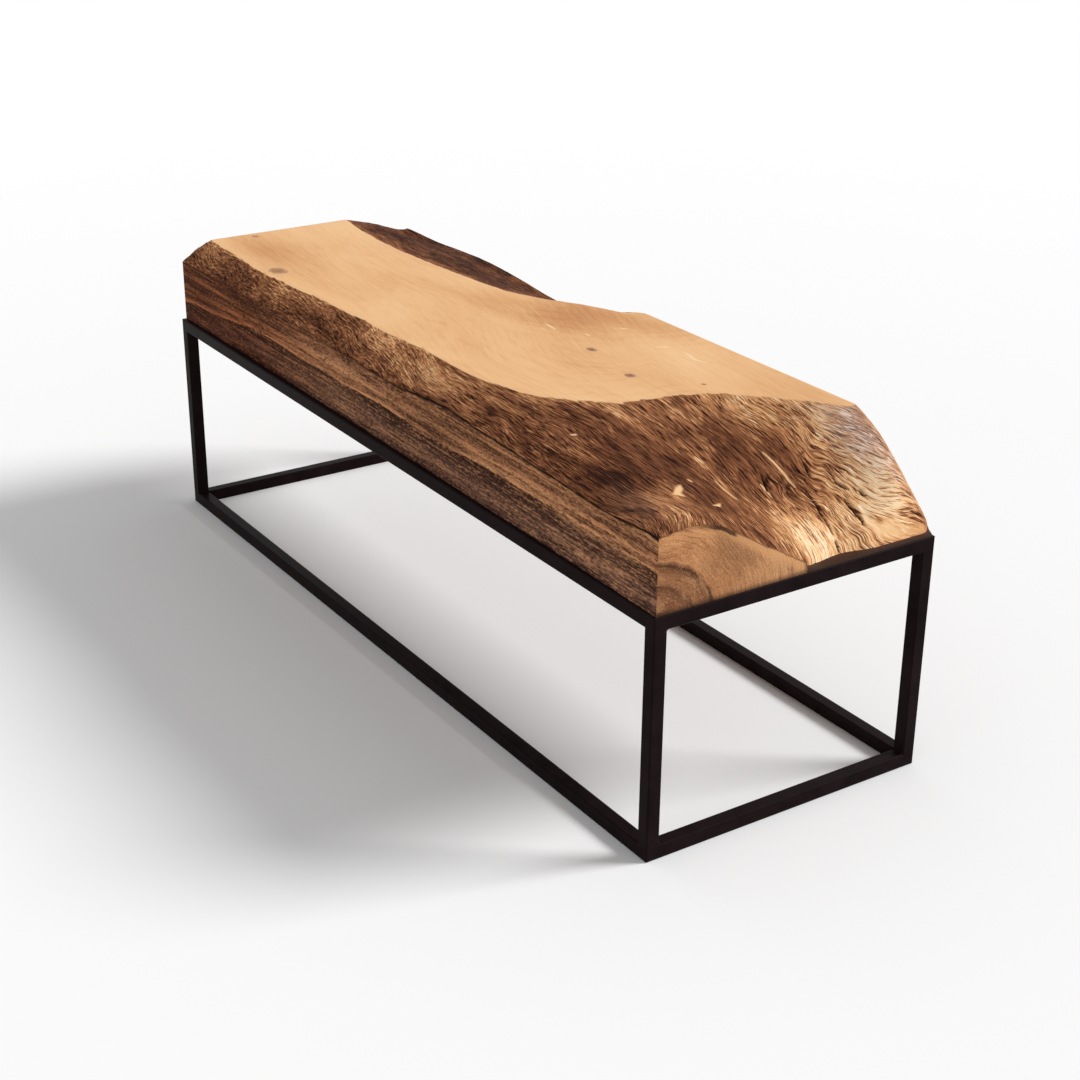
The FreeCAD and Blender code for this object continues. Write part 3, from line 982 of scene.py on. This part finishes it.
def sawn_material():
    """The sawn sides: brown heartwood with long pale stripes and the specks of a rough saw."""
    t = Tree("sawn_side")
    place = t.place()
    x, y, z = t.axes(place)
    wander = t.grain(place, (3.0, 3.0, 9.0), 4.0, 0.6)
    bend = t.level(x, -0.42, -0.70, 0.0, 0.024)
    grain = t.crisp(t.grain(place, (14.0, 14.0, 260.0), 4.0, 0.65, 0.2), 0.18)
    specks = t.crisp(t.grain(place, (120.0, 120.0, 400.0), 2.0, 0.7), 0.18)
    line = t.total(z, -form.bottom, bend, (wander, 0.030), (grain, 0.0016), (specks, 0.0012))
    share = t.math("DIVIDE", line, form.top - form.bottom)
    colour = t.ramp(share, [
        (0.00, srgb(106, 75, 62)),
        (0.15, srgb(124, 88, 73)),
        (0.30, srgb(97, 66, 53)),
        (0.415, srgb(68, 42, 31)),
        (0.435, srgb(238, 170, 120)),
        (0.455, srgb(200, 136, 93)),
        (0.480, srgb(140, 92, 65)),
        (0.510, srgb(138, 91, 65)),
        (0.545, srgb(218, 152, 106)),
        (0.590, srgb(160, 108, 77)),
        (0.74, srgb(138, 92, 65)),
        (0.82, srgb(120, 79, 57)),
    ])
    streaks = t.crisp(t.grain(place, (1.8, 1.8, 110.0), 3.0, 0.6), 0.18)
    upper = t.level(share, 0.40, 0.46, 0.35, 1.0)
    light = t.times(upper, t.level(streaks, 0.10, 0.45, 0.0, 0.80))
    colour = t.mix(light, colour, srgb(218, 154, 106))
    dark = t.times(upper, t.level(streaks, -0.10, -0.45, 0.0, 0.75))
    colour = t.mix(dark, colour, srgb(72, 44, 31))
    front = t.level(y, 0.0, -0.1)
    for places, tint in ((FRONT_DARK, srgb(70, 43, 31)), (FRONT_PALE, srgb(236, 172, 124))):
        for spot in places:
            cover = t.times(side_spot(t, place, streaks, spot), front)
            colour = t.mix(cover, colour, tint)
    far = t.times(t.level(x, -0.10, -0.45), front)
    shade = t.total((grain, 0.68), t.times(specks, t.level(far, 0.0, 1.0, 0.68, 0.58)))
    colour = t.mix(t.level(shade, 0.05, -0.40, 0.0, 0.80), colour, srgb(34, 19, 13))
    colour = t.mix(t.level(shade, 0.05, 0.45, 0.0, 0.60), colour, srgb(224, 162, 116))
    colour = t.mix(far, colour, (0.68, 0.52, 0.45, 1.0), "MULTIPLY")
    # Painted shadow: a near-black line under the skin's lip along the front face
    lip_shadow = t.times(t.level(t.attribute("under"), 0.003, 0.0055, 0.95, 0.0), t.level(x, -0.25, 0.10))
    lip_shadow = t.times(lip_shadow, front)
    colour = t.mix(lip_shadow, colour, srgb(14, 8, 6))
    t.shader.inputs["Specular IOR Level"].default_value = 0.02
    return t.finish(colour, 0.7, t.bump(shade, 1.0, 0.0010))


def side_spot(t, place, streaks, spot):
    """How much of one place of the sawn front shows at each point."""
    x, z, reach_x, reach_z, strength = spot
    away = t.around(place, (x, 0.0, z), (1 / reach_x, 0.0, 1 / reach_z))[1]
    return t.level(t.total(away, (streaks, 0.5)), 1.2, 0.1, 0.0, strength)


def end_grain_material():
    """The cross-cut ends: growth rings round a heart below the front corner, and a pale rim of sapwood."""
    t = Tree("end_grain")
    place = t.place()
    x, y, z = t.axes(place)
    out_y = t.math("ADD", y, -HEART_Y)
    out_z = t.math("SUBTRACT", z, HEART_Z)
    away = t.math("SQRT", t.math("ADD", t.times(out_y, out_y), t.times(out_z, out_z)))
    away = t.total(away, (t.noise(place, 16.0, 4.0, 0.6), 0.016))
    turn = t.math("ARCTAN2", out_z, out_y)
    colour = t.ramp(t.level(away, 0.04, 0.22), [
        (0.00, srgb(104, 68, 46)),
        (0.17, srgb(142, 95, 66)),
        (0.235, srgb(98, 63, 43)),
        (0.265, srgb(170, 117, 80)),
        (0.34, srgb(142, 95, 64)),
        (0.390, srgb(70, 43, 29)),
        (0.42, srgb(192, 133, 88)),
        (0.60, srgb(204, 145, 98)),
        (0.80, srgb(214, 156, 108)),
        (1.00, srgb(228, 170, 120)),
    ])
    polar = t.joined(t.times(turn, 2.0), t.times(away, 60.0))
    smear = t.noise(polar, 1.0, 5.0, 0.65)
    fine = t.joined(t.times(turn, 6.0), t.times(away, 420.0))
    rings = t.crisp(t.noise(fine, 1.0, 2.0, 0.6), 0.18)
    pores = t.crisp(t.noise(place, 420.0, 2.0, 0.7), 0.18)
    growth = t.math("SINE", t.total((away, 950.0), (smear, 9.0)))
    growth = t.times(t.level(growth, 0.2, 1.0), t.level(smear, -0.10, 0.14, 0.0, 0.45))
    colour = t.mix(growth, colour, srgb(118, 74, 46))
    colour = t.mix(t.level(smear, 0.02, 0.14, 0.0, 0.40), colour, srgb(128, 82, 52))
    colour = t.mix(t.level(smear, -0.02, -0.14, 0.0, 0.40), colour, srgb(226, 168, 118))
    stain_y = t.math("DIVIDE", t.math("ADD", y, -STAIN_Y), STAIN_REACH_Y)
    stain_z = t.math("DIVIDE", t.math("SUBTRACT", z, STAIN_Z), STAIN_REACH_Z)
    stain = t.total(t.times(stain_y, stain_y), t.times(stain_z, stain_z), (smear, 5.0))
    colour = t.mix(t.level(stain, 1.4, 0.2, 0.0, 0.55), colour, srgb(122, 78, 50))
    colour = t.mix(t.level(z, 0.395, 0.345, 0.0, 0.30), colour, srgb(110, 70, 46))
    shade = t.total((rings, 0.5), (pores, 0.6))
    colour = t.mix(t.level(shade, 0.05, -0.45, 0.0, 0.45), colour, srgb(84, 50, 30))
    colour = t.mix(t.level(shade, 0.05, 0.50, 0.0, 0.30), colour, srgb(238, 184, 134))
    under = t.attribute("under")
    rim = t.times(t.level(under, 0.018, 0.008), t.level(y, -0.15, -0.09))
    colour = t.mix(t.times(rim, 0.75), colour, srgb(220, 162, 110))
    torn = t.times(t.level(y, -0.165, -0.135), t.level(y, -0.103, -0.109))
    torn = t.times(torn, t.level(x, 0.0, 0.1))
    shadow = t.times(t.level(under, 0.0045, 0.0065, 0.85, 0.0), torn)
    shadow = t.math("MAXIMUM", shadow, t.level(under, 0.0012, 0.0024, 0.6, 0.0))
    colour = t.mix(shadow, colour, srgb(48, 28, 18))
    # Darker brown over the back half of the near end
    darker_back = t.times(t.level(t.total(y, (smear, 0.03)), 0.002, 0.014), t.level(x, 0.0, 0.1))
    colour = t.mix(darker_back, colour, srgb(82, 54, 40))
    low = t.total(z, (pores, -0.004))
    dirt = t.times(t.level(low, form.bottom + 0.007, form.bottom + 0.001), 0.7)
    colour = t.mix(dirt, colour, srgb(42, 26, 18))
    t.shader.inputs["Specular IOR Level"].default_value = 0.06
    return t.finish(colour, 0.6, t.bump(shade, 0.6, 0.0006))


def paint_material():
    """Satin black paint on steel, a little uneven, with a few worn flecks."""
    t = Tree("frame_paint_satin")
    place = t.place()
    uneven = t.noise(place, 24.0, 4.0, 0.6)
    peel = t.noise(place, 420.0, 2.0, 0.5)
    fleck = t.level(t.noise(place, 150.0, 4.0, 0.7), 0.22, 0.28)
    worn = t.times(fleck, t.level(t.noise(place, 9.0), 0.1, 0.2))
    colour = t.ramp(t.level(uneven, -0.2, 0.2), [(0.0, srgb(22, 13, 14)), (1.0, srgb(33, 23, 24))])
    colour = t.mix(worn, colour, srgb(120, 112, 108))
    t.shader.inputs["Specular IOR Level"].default_value = 0.02
    return t.finish(colour, t.level(uneven, -0.2, 0.2, 0.30, 0.44), t.bump(peel, 0.06, 0.0004))


def zinc_material():
    """Zinc-plated fasteners."""
    t = Tree("zinc_plate")
    spangle = t.level(t.noise(t.place(), 300.0, 3.0, 0.6), -0.2, 0.2)
    colour = t.ramp(spangle, [(0.0, srgb(150, 152, 156)), (1.0, srgb(196, 198, 200))])
    t.shader.inputs["Metallic"].default_value = 1.0
    return t.finish(colour, t.level(spangle, 0.0, 1.0, 0.30, 0.45))


def make_log():
    """The finished log, which takes the place of the CAD log."""
    mesh = log_mesh(log_shape())
    for material in (top_material(), sawn_material(), end_grain_material()):
        mesh.materials.append(material)
    timber = bpy.data.objects.new("log_timber", mesh)
    bpy.context.scene.collection.objects.link(timber)
    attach(timber, "root")
    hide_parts("log")


def finish_frame():
    """Gives every steel node of the frame its finish."""
    paint = paint_material()
    zinc = zinc_material()
    for name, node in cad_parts.items():
        if name == "log":
            continue
        node.data.materials.clear()
        node.data.materials.append(zinc if name in ("coach_screws", "washers") else paint)


# Studio

def make_camera():
    """The camera, at the photograph's viewing angle."""
    data = bpy.data.cameras.new("camera")
    data.lens = CAMERA_LENS
    data.sensor_width = CAMERA_SENSOR
    camera = bpy.data.objects.new("camera", data)
    turn = Matrix((CAMERA_RIGHT, CAMERA_UP, CAMERA_BACK)).transposed()
    camera.matrix_world = Matrix.Translation(CAMERA_PLACE) @ turn.to_4x4()
    bpy.context.scene.collection.objects.link(camera)
    bpy.context.scene.camera = camera


def make_floor():
    """A white floor that fades into the white surroundings."""
    size = FLOOR_SIZE
    mesh = bpy.data.meshes.new("floor")
    corners = [(-size, -size, 0), (size, -size, 0), (size, size, 0), (-size, size, 0)]
    mesh.from_pydata(corners, [], [(0, 1, 2, 3)])
    floor = bpy.data.objects.new("floor", mesh)
    t = Tree("floor_white")
    place = t.place()
    t.finish(t.ramp(t.noise(place, 0.4), [(0.0, srgb(252, 252, 252)), (1.0, srgb(254, 254, 254))]), 0.9)
    t.shader.inputs["Specular IOR Level"].default_value = 0.0
    away = t.length(place)
    fade = t.add("MixShader", {0: t.level(away, FADE_START, FADE_END), 1: t.shader.outputs[0]})
    t.plug(fade.inputs[2], t.add("BsdfTransparent").outputs[0])
    t.plug(t.output.inputs["Surface"], fade.outputs[0])
    mesh.materials.append(t.material)
    bpy.context.scene.collection.objects.link(floor)


def make_light():
    """White surroundings for the camera and for reflections, soft light and one broad soft sun."""
    world = bpy.data.worlds.new("studio")
    bpy.context.scene.world = world
    world.use_nodes = True
    nodes = world.node_tree.nodes
    links = world.node_tree.links
    background = nodes["Background"]
    background.inputs["Color"].default_value = (1.0, 1.0, 1.0, 1.0)
    path = nodes.new("ShaderNodeLightPath")
    seen = path.outputs["Is Camera Ray"]
    for name in ("Is Glossy Ray", "Is Transmission Ray"):
        either = nodes.new("ShaderNodeMath")
        either.operation = "MAXIMUM"
        links.new(seen, either.inputs[0])
        links.new(path.outputs[name], either.inputs[1])
        seen = either.outputs[0]
    strength = nodes.new("ShaderNodeMapRange")
    links.new(seen, strength.inputs["Value"])
    strength.inputs["To Min"].default_value = SOFT_LIGHT
    strength.inputs["To Max"].default_value = SEEN_LIGHT
    links.new(strength.outputs["Result"], background.inputs["Strength"])
    data = bpy.data.lights.new("soft_sun", "SUN")
    data.energy = SUN_POWER
    data.angle = math.radians(SUN_SPREAD)
    sun = bpy.data.objects.new("soft_sun", data)
    sun.rotation_mode = "QUATERNION"
    sun.rotation_quaternion = SUN_COURSE.to_track_quat("-Z", "Y")
    bpy.context.scene.collection.objects.link(sun)


make_camera()
make_floor()
make_light()
make_log()
finish_frame()

scene = bpy.context.scene
scene.view_settings.view_transform = "Standard"
